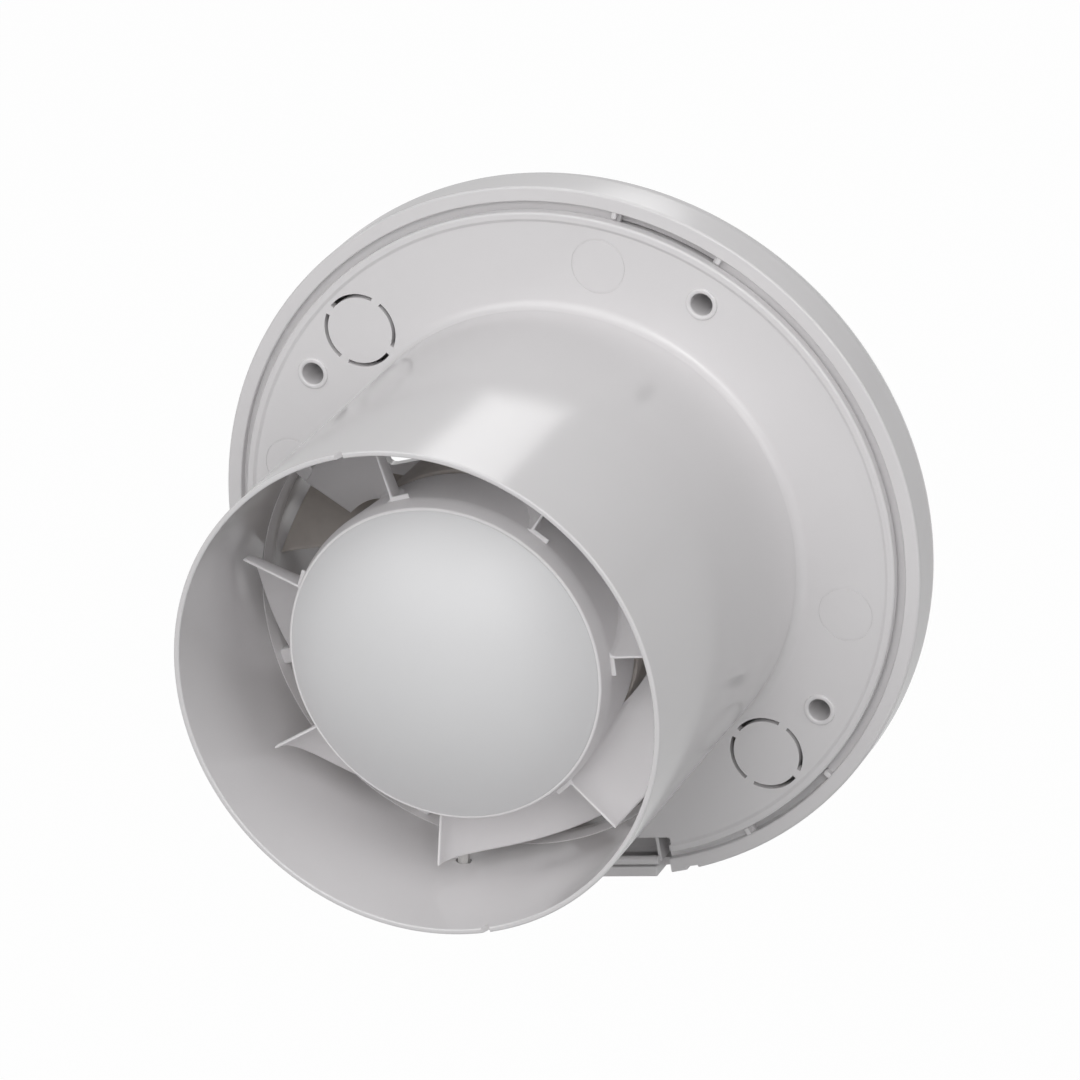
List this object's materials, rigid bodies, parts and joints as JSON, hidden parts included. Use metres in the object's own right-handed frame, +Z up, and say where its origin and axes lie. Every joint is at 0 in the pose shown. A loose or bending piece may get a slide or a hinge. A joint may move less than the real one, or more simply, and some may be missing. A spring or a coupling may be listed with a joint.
{
  "type": "extractor fan",
  "caption": "Round duct exhaust fan: wall plate with a long duct tube, curved guide vanes round a domed motor pod, a turning impeller, and a clip-on cover with a slotted front panel.",
  "frame": {"origin": "on the duct axis, in the plane of the wall that the plate sits on", "axes": "+Y down the duct, away from the room; -Y into the room; +Z up as mounted"},
  "size_m": [0.15, 0.119, 0.1501],
  "materials": {
    "white_plastic": "smooth moulded ABS",
    "grey_plastic": "moulded glass-filled plastic",
    "dark_plastic": "moulded epoxy",
    "steel": "zinc plated or ground",
    "aluminium": "die-cast",
    "ferrite": "ground ferrite",
    "copper": "enamelled copper wire",
    "brass": "nickel-free turned brass",
    "rubber": "soft moulded rubber",
    "nylon": "moulded nylon",
    "lead_sheath": "PVC sheath",
    "circuit_board": "lacquered glass-epoxy board",
    "capacitor_sleeve": "printed sleeve on an aluminium can"
  },
  "bodies": {
    "housing": {"rear_housing": "white_plastic", "guide_vane_stator": "white_plastic", "pod_dome_cap": "white_plastic", "stator_core": "steel", "stator_winding": "copper", "winding_lead": "lead_sheath", "motor_base": "aluminium", "driver_board": "circuit_board", "filter_capacitor": "capacitor_sleeve", "choke": "copper", "rectifier": "dark_plastic", "board_connector": "nylon", "motor_lead": "lead_sheath", "terminal_block": "nylon", "front_bearing_outer_race": "steel", "rear_bearing_outer_race": "steel", "vibration_mount_1": "rubber", "motor_screw_1": "steel", "board_screw_1": "steel", "terminal_screw_1": "brass", "vibration_mount_2": "rubber", "motor_screw_2": "steel", "board_screw_2": "steel", "terminal_screw_2": "brass", "vibration_mount_3": "rubber", "motor_screw_3": "steel", "board_screw_3": "steel", "terminal_screw_3": "brass", "terminal_fixing_screw_1": "steel", "terminal_fixing_screw_2": "steel"},
    "rotor": {"impeller": "grey_plastic", "impeller_nose_cap": "grey_plastic", "impeller_nut": "steel", "motor_shaft": "steel", "shaft_circlip": "steel", "rotor_cup": "steel", "magnet_ring": "ferrite", "front_bearing_inner_race": "steel", "rear_bearing_inner_race": "steel", "front_bearing_balls": "steel", "rear_bearing_balls": "steel"},
    "cover": {"front_cover": "white_plastic"},
    "panel": {"front_panel": "white_plastic"}
  },
  "joints": [
    {"name": "fan_spin", "type": "hinge", "parent": "housing", "child": "rotor", "pos_m": [0, 0, 0], "axis": [0, -1, 0], "continuous": true},
    {"name": "cover_pull", "type": "slide", "parent": "housing", "child": "cover", "axis": [0, -1, 0], "range_m": [0, 0.06]},
    {"name": "panel_pull", "type": "slide", "parent": "cover", "child": "panel", "axis": [0, -1, 0], "range_m": [0, 0.012]}
  ]
}
